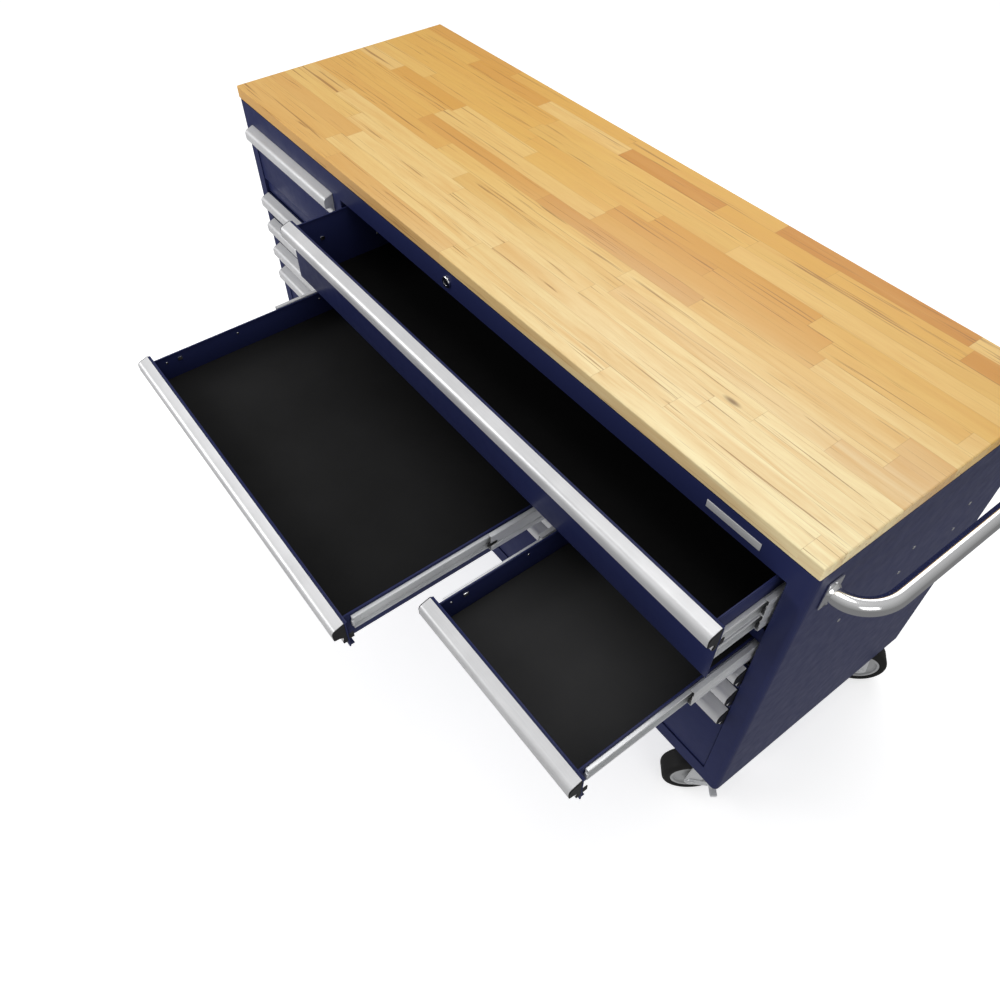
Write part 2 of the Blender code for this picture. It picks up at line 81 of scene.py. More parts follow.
class Shading:
    """The node tree of one material, with its Principled shader."""

    def __init__(self, name, roughness, metallic=0.0):
        self.material = bpy.data.materials.new(name)
        self.material.use_nodes = True
        self.tree = self.material.node_tree
        self.shader = self.tree.nodes["Principled BSDF"]
        self.set("Roughness", roughness)
        self.set("Metallic", metallic)

    def set(self, socket, value):
        self.shader.inputs[socket].default_value = value

    def link(self, source, target):
        self.tree.links.new(source, target)

    def node(self, kind, **settings):
        made = self.tree.nodes.new(kind)
        for key, value in settings.items():
            setattr(made, key, value)
        return made

    def fill(self, socket, value):
        """Sets an input to a number, or links it to another node's output."""
        if isinstance(value, bpy.types.NodeSocket):
            self.link(value, socket)
        else:
            socket.default_value = value

    def math(self, operation, first, second=0.0):
        made = self.node("ShaderNodeMath", operation=operation)
        self.fill(made.inputs[0], first)
        self.fill(made.inputs[1], second)
        return made.outputs[0]

    def point(self):
        """The point on the object, in metres."""
        return self.node("ShaderNodeTexCoord").outputs["Object"]

    def parts(self, vector):
        made = self.node("ShaderNodeSeparateXYZ")
        self.link(vector, made.inputs[0])
        return made.outputs[0], made.outputs[1], made.outputs[2]

    def vector(self, x, y, z):
        made = self.node("ShaderNodeCombineXYZ")
        for socket, value in zip(made.inputs, (x, y, z)):
            self.fill(socket, value)
        return made.outputs[0]

    def stretched(self, point, scale):
        made = self.node("ShaderNodeVectorMath", operation="MULTIPLY")
        self.link(point, made.inputs[0])
        made.inputs[1].default_value = scale
        return made.outputs[0]

    def noise(self, point, scale=1.0, detail=4.0, roughness=0.5, distortion=0.0):
        made = self.node("ShaderNodeTexNoise")
        self.link(point, made.inputs["Vector"])
        for socket, value in (
            ("Scale", scale),
            ("Detail", detail),
            ("Roughness", roughness),
            ("Distortion", distortion),
        ):
            made.inputs[socket].default_value = value
        return made.outputs["Fac"]

    def random(self, point):
        """White noise that stays the same across a cell: its value and its colour."""
        made = self.node("ShaderNodeTexWhiteNoise", noise_dimensions="3D")
        self.link(point, made.inputs["Vector"])
        return made.outputs["Value"], made.outputs["Color"]

    def ramp(self, factor, stops):
        made = self.node("ShaderNodeValToRGB")
        elements = made.color_ramp.elements
        while len(elements) < len(stops):
            elements.new(0.5)
        for element, (position, colour) in zip(elements, stops):
            element.position = position
            element.color = (*colour, 1)
        self.link(factor, made.inputs[0])
        return made.outputs[0]

    def remap(self, value, low, high, to_low, to_high, smooth=False):
        made = self.node("ShaderNodeMapRange")
        if smooth:
            made.interpolation_type = "SMOOTHSTEP"
        self.link(value, made.inputs["Value"])
        for socket, number in (
            ("From Min", low),
            ("From Max", high),
            ("To Min", to_low),
            ("To Max", to_high),
        ):
            made.inputs[socket].default_value = number
        return made.outputs["Result"]

    def mix(self, factor, first, second):
        made = self.node("ShaderNodeMix", data_type="RGBA")
        self.fill(made.inputs[0], factor)
        for socket, value in ((made.inputs[6], first), (made.inputs[7], second)):
            if isinstance(value, tuple):
                value = (*value, 1)
            self.fill(socket, value)
        return made.outputs[2]

    def bump(self, height, strength, distance):
        made = self.node("ShaderNodeBump")
        made.inputs["Strength"].default_value = strength
        made.inputs["Distance"].default_value = distance
        self.link(height, made.inputs["Height"])
        return made.outputs["Normal"]

    def colour(self, source):
        self.link(source, self.shader.inputs["Base Color"])

    def finish_with(self, roughness, normal=None):
        self.link(roughness, self.shader.inputs["Roughness"])
        if normal is not None:
            self.link(normal, self.shader.inputs["Normal"])
        return self.material


def navy_paint():
    """Semi-gloss powder coat: dark navy with a very fine orange peel."""
    look = Shading("navy_powder_coat", 0.34)
    point = look.point()
    clouds = look.noise(point, 3.0, 3.0)
    look.colour(look.mix(clouds, NAVY_DARK, NAVY_LIGHT))
    look.set("Coat Weight", 0.10)
    look.set("Coat Roughness", 0.16)
    look.set("Specular IOR Level", 0.16)
    look.set("IOR", 1.35)
    peel = look.noise(point, 950.0, 2.0)
    rough = look.remap(look.noise(point, 40.0, 4.0), 0.3, 0.7, 0.30, 0.40)
    return look.finish_with(rough, look.bump(peel, 0.02, 0.0002))


def bare_metal(name, colour, roughness, metallic, grain, stretch, strength):
    """Metal with fine drawn or rolled lines: the stretch is small along the lines."""
    look = Shading(name, roughness, metallic)
    point = look.point()
    lines = look.noise(look.stretched(point, stretch), grain, 3.0, 0.6)
    worn = look.noise(point, 14.0, 4.0)
    darker = tuple(part * 0.88 for part in colour)
    tone = look.mix(look.remap(worn, 0.3, 0.7, 0.0, 1.0), darker, colour)
    look.colour(look.mix(look.remap(lines, 0.35, 0.65, 0.0, 0.16), tone, (0.42, 0.43, 0.45)))
    rough = look.remap(lines, 0.3, 0.7, roughness - 0.05, roughness + 0.08)
    return look.finish_with(rough, look.bump(lines, strength, 0.0002))


def chrome_plate():
    look = Shading("chrome_plate", 0.12, 1.0)
    point = look.point()
    haze = look.noise(point, 9.0, 5.0)
    look.colour(look.mix(haze, (0.86, 0.87, 0.88), (0.95, 0.95, 0.95)))
    return look.finish_with(look.remap(haze, 0.3, 0.7, 0.09, 0.17))


def dull_surface(name, dark, light, roughness, scale, strength, shine=0.35):
    """Rubber, foam or moulded plastic: one colour with a grain."""
    look = Shading(name, roughness)
    point = look.point()
    mottle = look.noise(point, 5.0, 4.0)
    look.colour(look.mix(look.remap(mottle, 0.3, 0.7, 0.0, 1.0), dark, light))
    look.set("Specular IOR Level", shine)
    grain = look.noise(point, scale, 3.0)
    rough = look.remap(grain, 0.3, 0.7, roughness - 0.06, roughness + 0.06)
    return look.finish_with(rough, look.bump(grain, strength, 0.0006))


STAVE_WIDTH = 0.0435
STAVE_LENGTH = (0.26, 0.36)


def glued_timber():
    """Finger-jointed hardwood staves along the bench, each with its own tone and grain."""
    look = Shading("glued_timber", 0.4)
    x, y, z = look.parts(look.point())
    across = look.math("DIVIDE", look.math("SUBTRACT", y, WOOD_FRONT - 0.0002), STAVE_WIDTH)
    row = look.math("FLOOR", across)
    row_value, _ = look.random(look.vector(row, 3.7, 1.3))
    length = look.math("ADD", look.math("MULTIPLY", row_value, STAVE_LENGTH[1]), STAVE_LENGTH[0])
    shifted = look.math("ADD", x, look.math("MULTIPLY", row_value, 1.9))
    along = look.math("DIVIDE", look.math("ADD", shifted, 4.0), length)
    board = look.math("FLOOR", along)
    tone, shade = look.random(look.vector(row, board, 0.5))
    shift_x, shift_y, _ = look.parts(shade)

    boards = look.ramp(tone, TIMBER_TONES)
    grain_x = look.math("MULTIPLY", x, 2.4)
    grain_x = look.math("ADD", grain_x, look.math("MULTIPLY", shift_x, 37.0))
    grain_y = look.math("MULTIPLY", y, 34.0)
    grain_y = look.math("ADD", grain_y, look.math("MULTIPLY", shift_y, 19.0))
    grain_z = look.math("MULTIPLY", z, 34.0)
    grain_point = look.vector(grain_x, grain_y, grain_z)
    broad = look.noise(grain_point, 1.0, 5.0, 0.55, 0.9)
    fine = look.noise(grain_point, 6.0, 5.0, 0.65, 0.3)
    # Paler wood and a painted sheen towards the front right corner: the boards are mixed towards a pale
    # colour there, partly the wood's lighter tone and partly a painted highlight.
    sheen_to_front = look.remap(y, WOOD_FRONT, WOOD_FRONT + 0.46, 0.95, 0.0, True)
    sheen_to_right = look.remap(x, LEFT + 0.4, RIGHT, 0.16, 1.0, True)
    boards = look.mix(look.math("MULTIPLY", sheen_to_front, sheen_to_right), boards, TIMBER_PALE_AND_SHEEN)
    figured = look.mix(look.remap(broad, 0.42, 0.72, 0.0, 0.50), boards, TIMBER_BAND)
    figured = look.mix(look.remap(fine, 0.45, 0.8, 0.0, 0.30), figured, TIMBER_GRAIN)
    streak_point = look.stretched(grain_point, (0.9, 3.4, 3.4))
    streaks = look.noise(streak_point, 1.0, 3.0, 0.5, 1.6)
    figured = look.mix(look.remap(streaks, 0.60, 0.70, 0.0, 0.70, True), figured, TIMBER_STREAK)

    knot = look.node("ShaderNodeTexVoronoi", feature="F1")
    knot_point = look.vector(look.math("MULTIPLY", x, 3.4), look.math("MULTIPLY", y, 11.0), 0.0)
    look.link(knot_point, knot.inputs["Vector"])
    knot.inputs["Scale"].default_value = 1.0
    knot_spot = look.remap(knot.outputs["Distance"], 0.015, 0.085, 0.75, 0.0, True)
    chance, _ = look.random(knot.outputs["Position"])
    rare = look.math("GREATER_THAN", chance, 0.55)
    figured = look.mix(look.math("MULTIPLY", knot_spot, rare), figured, TIMBER_KNOT)

    def seam(position, size, width):
        """1 on the line between two staves, 0 away from it."""
        inside = look.math("SUBTRACT", look.math("FRACT", position), 0.5)
        to_edge = look.math("SUBTRACT", 0.5, look.math("ABSOLUTE", inside))
        return look.remap(look.math("MULTIPLY", to_edge, size), 0.0, width, 1.0, 0.0)

    lines = look.math("MAXIMUM", seam(across, STAVE_WIDTH, 0.0007), seam(along, length, 0.0008))
    look.colour(look.mix(look.math("MULTIPLY", lines, 0.34), figured, TIMBER_STREAK))
    look.set("Coat Weight", 0.12)
    look.set("Coat Roughness", 0.25)
    look.set("Specular IOR Level", 0.3)
    rough = look.remap(fine, 0.3, 0.7, 0.34, 0.5)
    relief = look.math("SUBTRACT", fine, look.math("MULTIPLY", lines, 1.2))
    return look.finish_with(rough, look.bump(relief, 0.12, 0.0004))


NAVY_DARK = (0.0165, 0.0215, 0.076)
NAVY_LIGHT = (0.0215, 0.0270, 0.092)
TIMBER_TONES = [
    (0.00, (0.58, 0.25, 0.040)),
    (0.10, (0.65, 0.32, 0.055)),
    (0.30, (0.71, 0.39, 0.075)),
    (0.60, (0.75, 0.46, 0.115)),
    (0.84, (0.80, 0.54, 0.190)),
    (1.00, (0.70, 0.41, 0.085)),
]
# Pale colour for the front right of the top: partly the wood's lighter tone, partly a painted sheen.
TIMBER_PALE_AND_SHEEN = (0.98, 0.86, 0.52)
TIMBER_BAND = (0.68, 0.35, 0.085)
TIMBER_GRAIN = (0.60, 0.33, 0.10)
TIMBER_STREAK = (0.30, 0.13, 0.035)
TIMBER_KNOT = (0.13, 0.055, 0.022)

NAVY = navy_paint()
TIMBER = glued_timber()
ALONG_X = (0.35, 22.0, 22.0)
ALONG_Y = (20.0, 0.4, 20.0)
ALL_WAYS = (4.0, 4.0, 4.0)
PULL_METAL = bare_metal("satin_aluminium", (0.76, 0.76, 0.77), 0.40, 0.38, 60.0, ALONG_X, 0.03)
SLIDE_METAL = bare_metal("zinc_slide", (0.80, 0.81, 0.82), 0.34, 0.45, 60.0, ALONG_Y, 0.04)
FORK_METAL = bare_metal("zinc_fork", (0.84, 0.85, 0.86), 0.34, 0.45, 90.0, ALL_WAYS, 0.06)
CHROME = chrome_plate()


def foam(name, dark, light, shine):
    """Liner foam, from a dark grey to a light one."""
    tones = [(grey, grey, grey * 1.02) for grey in (dark, light)]
    return dull_surface(name, *tones, 0.8, 900.0, 0.2, shine)


LINER = foam("liner_foam", 0.009, 0.013, 0.12)
# Copies of the same foam: darker for the wide drawer as painted shade, lighter for right_drawer_1 as
# painted light.
LINER_PAINTED_SHADE = foam("liner_foam_painted_shade", 0.004, 0.006, 0.1)
LINER_PAINTED_LIGHT = foam("liner_foam_painted_light", 0.026, 0.034, 0.12)
LINERS_LIT_AND_SHADED = {"wide_drawer": LINER_PAINTED_SHADE, "right_drawer_1": LINER_PAINTED_LIGHT}
BLACK_PLASTIC = dull_surface(
    "black_plastic", (0.010, 0.010, 0.011), (0.016, 0.016, 0.017), 0.45, 700.0, 0.12
)
TYRE_RUBBER = dull_surface(
    "tyre_rubber", (0.010, 0.010, 0.010), (0.018, 0.017, 0.017), 0.6, 420.0, 0.2, 0.25
)
HUB_PLASTIC = dull_surface(
    "hub_plastic", (0.36, 0.365, 0.37), (0.44, 0.445, 0.45), 0.45, 600.0, 0.12
)


# ---------------------------------------------------------------- shapes


class Form:
    """A mesh put together from bevelled blocks, bars, sections and turned shapes."""

    def __init__(self):
        self.work = bmesh.new()

    def slab(self, low, high, edge=0.0006, segments=2):
        """A block between two corners with eased edges."""
        low, high = Vector(low), Vector(high)
        size = high - low
        made = bmesh.ops.create_cube(self.work, size=1.0)["verts"]
        bmesh.ops.scale(self.work, vec=size, verts=made)
        bmesh.ops.translate(self.work, vec=(low + high) / 2, verts=made)
        if edge:
            edges = {line for point in made for line in point.link_edges}
            bmesh.ops.bevel(
                self.work,
                geom=list(edges),
                offset=min(edge, min(size) * 0.45),
                segments=segments,
                affect="EDGES",
                profile=0.5,
            )
        return self

    def loft(self, rings, cap=True, loop=False):
        """Quads between rings of points. Each ring is closed; loop joins the last to the first."""
        rows = [[self.work.verts.new(point) for point in ring] for ring in rings]
        pairs = list(zip(rows, rows[1:])) + ([(rows[-1], rows[0])] if loop else [])
        for first, second in pairs:
            for a, b, c, d in zip(first, first[1:] + first[:1], second[1:] + second[:1], second):
                self.work.faces.new((a, b, c, d))
        if cap and not loop:
            self.work.faces.new(list(reversed(rows[0])))
            self.work.faces.new(rows[-1])
        return self

    def section(self, outline, start, end, axis, ease=0.0):
        """A flat outline pushed along an axis. The outline's points are the two other axes, in order."""

        def ring(at, inset):
            middle = [sum(values) / len(outline) for values in zip(*outline)]
            points = []
            for first, second in outline:
                a = first + (middle[0] - first) * inset
                b = second + (middle[1] - second) * inset
                point = [a, b]
                point.insert(axis, at)
                points.append(point)
            return points

        if not ease:
            return self.loft([ring(start, 0.0), ring(end, 0.0)])
        step = ease if end > start else -ease
        ends = ((start, 0.04), (start + step, 0.0), (end - step, 0.0), (end, 0.04))
        return self.loft([ring(at, inset) for at, inset in ends])

    def turned(self, profile, centre, direction, sides=32):
        """(radius, height) points turned about an axis through the centre, closed at both ends."""
        turn = Vector(direction).to_track_quat("Z", "Y").to_matrix()
        centre = Vector(centre)
        angles = [2 * math.pi * side / sides for side in range(sides)]
        rings = []
        for radius, height in profile:
            circle = [(radius * math.cos(a), radius * math.sin(a), height) for a in angles]
            rings.append([centre + turn @ Vector(point) for point in circle])
        return self.loft(rings)

    def ring_turned(self, profile, centre, direction, sides=48):
        """A closed (radius, height) profile turned about an axis, with a hole through it."""
        turn = Vector(direction).to_track_quat("Z", "Y").to_matrix()
        centre = Vector(centre)
        rings = []
        for side in range(sides):
            a = 2 * math.pi * side / sides
            around = Vector((math.cos(a), math.sin(a), 0))
            points = [around * radius + Vector((0, 0, height)) for radius, height in profile]
            rings.append([centre + turn @ point for point in points])
        return self.loft(rings, cap=False, loop=True)

    def tube(self, path, radius, sides=28):
        """A round bar along a path of points in a plane."""
        path = [Vector(point) for point in path]
        rings = []
        for index, point in enumerate(path):
            before = path[max(index - 1, 0)]
            after = path[min(index + 1, len(path) - 1)]
            direction = (after - before).normalized()
            side = direction.cross(Vector((0, 0, 1))).normalized()
            up = side.cross(direction)
            angles = [2 * math.pi * step / sides for step in range(sides)]
            rings.append([point + (side * math.cos(a) + up * math.sin(a)) * radius for a in angles])
        return self.loft(rings)

    def piece(self, name, material, body, slot=None, replaces=(), smooth=35):
        """The finished object, riding on its body."""
        bmesh.ops.recalc_face_normals(self.work, faces=self.work.faces)
        mesh = bpy.data.meshes.new(name)
        self.work.to_mesh(mesh)
        self.work.free()
        mesh.materials.append(material)
        mesh.shade_smooth()
        mesh.set_sharp_from_angle(angle=math.radians(smooth))
        obj = bpy.data.objects.new(name, mesh)
        bpy.context.scene.collection.objects.link(obj)
        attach(obj, body)
        if replaces:
            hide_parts(*replaces)
        return obj


def arc(centre, radii, start, end, steps):
    """Points on part of an ellipse, from one angle in degrees to another."""
    angles = [math.radians(start + (end - start) * step / steps) for step in range(steps + 1)]
    return [(centre[0] + radii[0] * math.cos(a), centre[1] + radii[1] * math.sin(a)) for a in angles]


def dome(form, centre, direction, radius, height=0.0012):
    """A rivet or screw head."""
    profile = [(radius, 0.0), (radius, height * 0.35)]
    profile += [(radius * 0.8, height * 0.8), (radius * 0.35, height)]
    form.turned(profile, centre, direction, 16)


# ---------------------------------------------------------------- cabinet


def keep_cad_nodes():
    """The CAD nodes that stay, with smooth shading on their round corners and finished paint."""
    kept = {
        "cabinet_shell": NAVY,
        "side_wall_left": NAVY,
        "side_wall_right": NAVY,
        "partition_left": NAVY,
        "partition_right": NAVY,
        "back_panel": NAVY,
        "floor_pan": NAVY,
        "cross_rail_left": NAVY,
        "cross_rail_right": NAVY,
        "wood_top": TIMBER,
    }
    for name, material in kept.items():
        node = frame["nodes"][name]
        node.data.materials.clear()
        node.data.materials.append(material)
        node.data.shade_smooth()
        node.data.set_sharp_from_angle(angle=math.radians(30))


def bank_edges(name):
    """The left and right edges of a drawer."""
    low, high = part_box(name + "_box")
    return low.x, high.x


def opening_returns():
    """Folded returns behind the edges of the drawer openings."""
    form = Form()
    front, rear = FACE + SHEET + GAP, FACE + 0.016
    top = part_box("left_drawer_1_box")[1].z + 0.0025
    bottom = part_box("left_drawer_5_box")[0].z - 0.003
    for left, right in (bank_edges("left_drawer_1"), bank_edges("wide_drawer")):
        low = (left - OPENING_CLEARANCE, front, top)
        high = (right + OPENING_CLEARANCE, rear, top + SHEET)
        form.slab(low, high, 0.0003, 1)
    for name in ("left_drawer_5", "centre_drawer_4", "right_drawer_4"):
        left, right = bank_edges(name)
        form.slab((left, front, bottom - SHEET), (right, rear, bottom), 0.0003, 1)
    form.piece("opening_returns", NAVY, "cabinet", "navy_paint")


SIDE_RIVETS = [(depth, drop) for depth in (0.157, 0.320, 0.481) for drop in (0.177, 0.251)]
BACK_MARGIN = (0.03, 0.02)
BACK_RIVET = 0.0038


def body_rivets():
    """Screws and rivets on the outer sides and the back."""
    form = Form()
    for x, out in ((LEFT, (-1, 0, 0)), (RIGHT, (1, 0, 0))):
        for depth, drop in SIDE_RIVETS:
            dome(form, (x, FACE + depth, STEEL_TOP - drop), out, 0.0042, 0.0016)
    form.piece("side_rivets", CHROME, "cabinet", "chrome")
    form = Form()
    left, right = LEFT + BACK_MARGIN[0], RIGHT - BACK_MARGIN[0]
    height = STEEL_TOP - BODY_BOTTOM
    for step in range(9):
        x = left + step * (right - left) / 8
        for z in (BODY_BOTTOM + BACK_MARGIN[1], STEEL_TOP - BACK_MARGIN[1]):
            dome(form, (x, BACK, z), (0, 1, 0), BACK_RIVET)
    for step in range(1, 4):
        for x in (left, right):
            dome(form, (x, BACK, BODY_BOTTOM + step * height / 4), (0, 1, 0), BACK_RIVET)
    form.piece("back_rivets", CHROME, "cabinet", "chrome")


def badge_plate():
    """A plain blank plate on the top rail."""
    width, height = 0.11, 0.016
    middle_x = RIGHT - 0.155
    middle_z = STEEL_TOP - 0.026
    form = Form()
    low = (middle_x - width / 2, FACE - 0.0016, middle_z - height / 2)
    high = (middle_x + width / 2, FACE - 0.0001, middle_z + height / 2)
    form.slab(low, high, 0.0006, 3)
    form.piece("blank_plate", PULL_METAL, "cabinet", "aluminium")


def lock():
    """Housing with a rounded rim, and the plug with its key slot."""
    low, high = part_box("lock_housing")
    centre = ((low.x + high.x) / 2, FACE, (low.z + high.z) / 2)
    plug_low, plug_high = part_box("lock_plug")
    plug = (plug_high.x - plug_low.x) / 2
    rim = (high.x - low.x) / 2
    form = Form()
    profile = [(plug + 0.0003, 0.0042), (plug + 0.0003, -0.018), (0.0094, -0.018), (0.0094, 0.0003)]
    profile += [(rim, 0.0003), (rim, 0.0018)] + arc((rim - 0.0024, 0.0018), (0.0024, 0.0024), 15, 90, 5)
    form.ring_turned(profile, centre, (0, -1, 0), 48)
    form.piece("lock_rim", CHROME, "cabinet", "chrome", ["lock_housing"], 50)
    form = Form()
    face = FACE - 0.0036
    form.turned([(plug, -0.020), (plug, 0.0028), (plug - 0.0008, 0.0036)], centre, (0, -1, 0), 40)
    form.piece("lock_barrel", CHROME, "lock_plug", "chrome", ["lock_plug"], 40)
    form = Form()
    half_width, half_height = 0.0008, 0.0042
    low = (centre[0] - half_width, face - 0.0004, centre[2] - half_height)
    high = (centre[0] + half_width, face + 0.002, centre[2] + half_height)
    form.slab(low, high, 0.0003, 1)
    form.piece("lock_key_slot", BLACK_PLASTIC, "lock_plug")


def rounded_plate(middle, half, radius):
    """A rectangle with round corners, as points in its own plane."""
    points = []
    for turn, (across, up) in enumerate(((1, 1), (-1, 1), (-1, -1), (1, -1))):
        corner = (middle[0] + across * (half[0] - radius), middle[1] + up * (half[1] - radius))
        points += arc(corner, (radius, radius), 90 * turn, 90 * turn + 90, 5)
    return points


HANDLE_BEND = (0.062, 0.075)


def push_handle():
    """Chrome tube with a full bend at each end, welded to two plates that are screwed on."""
    low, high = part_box("push_handle")
    height = (low.z + high.z) / 2
    radius = (high.z - low.z) / 2
    bar_x = high.x - radius
    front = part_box("handle_flange_front")
    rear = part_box("handle_flange_rear")
    near_y = (front[0].y + front[1].y) / 2
    far_y = (rear[0].y + rear[1].y) / 2
    quarter = arc((bar_x - HANDLE_BEND[0], near_y + HANDLE_BEND[1]), HANDLE_BEND, -90, 0, 18)
    near = [(front[1].x - 0.0006, near_y)] + quarter
    far = [(x, near_y + far_y - y) for x, y in reversed(near)]
    form = Form()
    form.tube([(x, y, height) for x, y in near + far], radius, 40)
    form.piece("push_handle_tube", CHROME, "cabinet", "chrome", ["push_handle"], 60)
    for name in ("handle_flange_front", "handle_flange_rear"):
        start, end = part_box(name)
        y = (start.y + end.y) / 2
        half = ((end.y - start.y) / 2, (end.z - start.z) / 2)
        form = Form()
        form.section(rounded_plate((y, height), half, 0.005), start.x, end.x, 0, 0.0006)
        bead = [(radius + 0.0042, 0.0), (radius + 0.0028, 0.0026), (radius + 0.0003, 0.0056)]
        form.turned(bead, (end.x - 0.0002, y, height), (1, 0, 0), 40)
        for up in (-1, 1):
            dome(form, (end.x, y, height + up * (half[1] - 0.0085)), (1, 0, 0), 0.0038, 0.0022)
        form.piece(name + "_plate", CHROME, "cabinet", "chrome", [name], 40)


# ---------------------------------------------------------------- drawers


def pull_section(y, z):
    """Section of the aluminium pull in (y, z), from its top rear edge."""
    brow = arc((-0.0140, -0.0160), (0.0105, 0.0110), 90, 180, 10)
    nose = arc((-0.0215, -0.0295), (0.0026, 0.0026), 190, 290, 5)
    scoop = arc((-0.0205, -0.0405), (0.0145, 0.0080), 90, 0, 8)
    lip = arc((-0.0072, -0.0532), (0.0014, 0.0016), 170, 270, 4)
    points = [(0.0, 0.0), (-0.0134, -0.0046)] + brow[1:] + nose + scoop
    points += [(-0.0060, -0.0460), (-0.0080, -0.0495)] + lip + [(0.0, -0.0550)]
    return [(y + depth, z + height) for depth, height in points]


def pull(name):
    """Aluminium extrusion with a cap at each end, and a lug behind the right-hand one."""
    low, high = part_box(name + "_pull")
    y, z = high.y, high.z
    outline = pull_section(y, z)
    form = Form()
    form.section(outline, low.x + PULL_CAP, high.x - PULL_CAP, 0)
    form.piece(name + "_pull_bar", PULL_METAL, name, "aluminium", [name + "_pull"], 22)
    form = Form()
    for start, end in ((low.x, low.x + PULL_CAP), (high.x - PULL_CAP, high.x)):
        form.section(outline, start, end, 0, 0.0006)
    look, slot = PULL_METAL, "aluminium"
    if name not in LEFT_NAMES:
        look, slot = BLACK_PLASTIC, "rubber"
        lug_low = (high.x - PULL_CAP, y + PANEL_THICKNESS + 2 * GAP, z - 0.050)
        form.slab(lug_low, (high.x, y + 0.0135, z - 0.036), 0.001, 2)
    form.piece(name + "_pull_caps", look, name, slot, (), 30)


def tray(name):
    """Front panel and folded tray, with the rivets and clips on its walls."""
    low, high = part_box(name + "_box")
    pull_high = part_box(name + "_pull")[1]
    y, z = pull_high.y + GAP, pull_high.z
    left, right = low.x + SIDE_SPACE, high.x - SIDE_SPACE
    bottom = low.z + 0.003
    top = z - 0.006
    rear = high.y
    form = Form()
    form.slab((low.x, y, low.z), (high.x, y + PANEL_THICKNESS, z - 0.001), 0.0011, 3)
    start = y + PANEL_THICKNESS - 0.0002
    for under, over, reach in ((low.z + 0.0006, low.z + 0.0022, 0.011), (z - 0.0028, z - 0.0012, 0.006)):
        form.slab((low.x + 0.002, start, under), (high.x - 0.002, y + reach, over), 0.0004)
    for wall, out in ((left, 1), (right, -1)):
        inner = wall + out * SHEET
        form.slab((min(wall, inner), start, bottom), (max(wall, inner), rear, top), 0.0005)
        fold = wall + out * 0.0034
        form.slab((min(wall, fold), start, top - 0.0030), (max(wall, fold), rear, top), 0.0007)
    form.slab((left, rear - SHEET, bottom), (right, rear, top), 0.0005)
    form.slab((left, rear - 0.0034, top - 0.0030), (right, rear, top), 0.0007)
    form.slab((left, start, bottom), (right, rear, bottom + SHEET), 0.0005)
    form.piece(name + "_tray", NAVY, name, "navy_paint", [name + "_box"])

    form = Form()
    rivet_drop, clip_drop = (0.095, 0.052) if name == "wide_drawer" else (0.018, 0.018)
    for wall, out in ((left + SHEET, 1), (right - SHEET, -1)):
        for depth in (0.028, 0.199, 0.411):
            dome(form, (wall, start + depth, top - rivet_drop), (out, 0, 0), 0.0030, 0.0014)
        clip_low = (min(wall, wall + out * 0.0032), start + 0.053, top - clip_drop - 0.004)
        clip_high = (max(wall, wall + out * 0.0032), start + 0.064, top - clip_drop + 0.005)
        form.slab(clip_low, clip_high, 0.0012, 2)
    form.piece(name + "_rivets", CHROME, name, "chrome")

    form = Form()
    inset = SHEET + LINER_EDGE
    base = bottom + SHEET + 0.0001
    liner_low = (left + inset, start + 0.002, base)
    form.slab(liner_low, (right - inset, rear - inset, base + LINER_THICKNESS), 0.0009, 3)
    # The wide drawer and right_drawer_1 take the painted-shade and painted-light copies of the liner
    # foam.
    form.piece(name + "_liner", LINERS_LIT_AND_SHADED.get(name, LINER), name, "rubber")


# ---------------------------------------------------------------- slides

SLIDE_TOP = 0.007
WIDE_SLIDE_TOP = 0.041
SLIDE_STEEL = 0.0012
SLIDE_HEIGHT = 0.042


def channel(inner_x, outer_x, top, bottom, lip):
    """C section of a slide member in (x, z): a web with a pressed step, and flanges with lips."""
    way = 1 if outer_x > inner_x else -1
    t = SLIDE_STEEL
    ease = 0.0008
    step = 0.0018
    reach = (top - bottom) * 0.27

    def half(edge, sign):
        """From the middle of the web's back to the middle of its front, by one flange."""
        near_inner = [(step, reach + 0.0022), (0.0, reach), (0.0, ease), (ease, 0.0)]
        near_outer = [(ease, 0.0), (0.0, ease), (0.0, lip), (t, lip), (t, t)]
        inside = [(t, t), (t, reach), (step + t, reach + 0.0022)]
        points = [(inner_x + way * a, edge - sign * b) for a, b in near_inner]
        points += [(outer_x - way * a, edge - sign * b) for a, b in near_outer]
        return points + [(inner_x + way * a, edge - sign * b) for a, b in inside]

    return half(top, 1) + list(reversed(half(bottom, -1)))


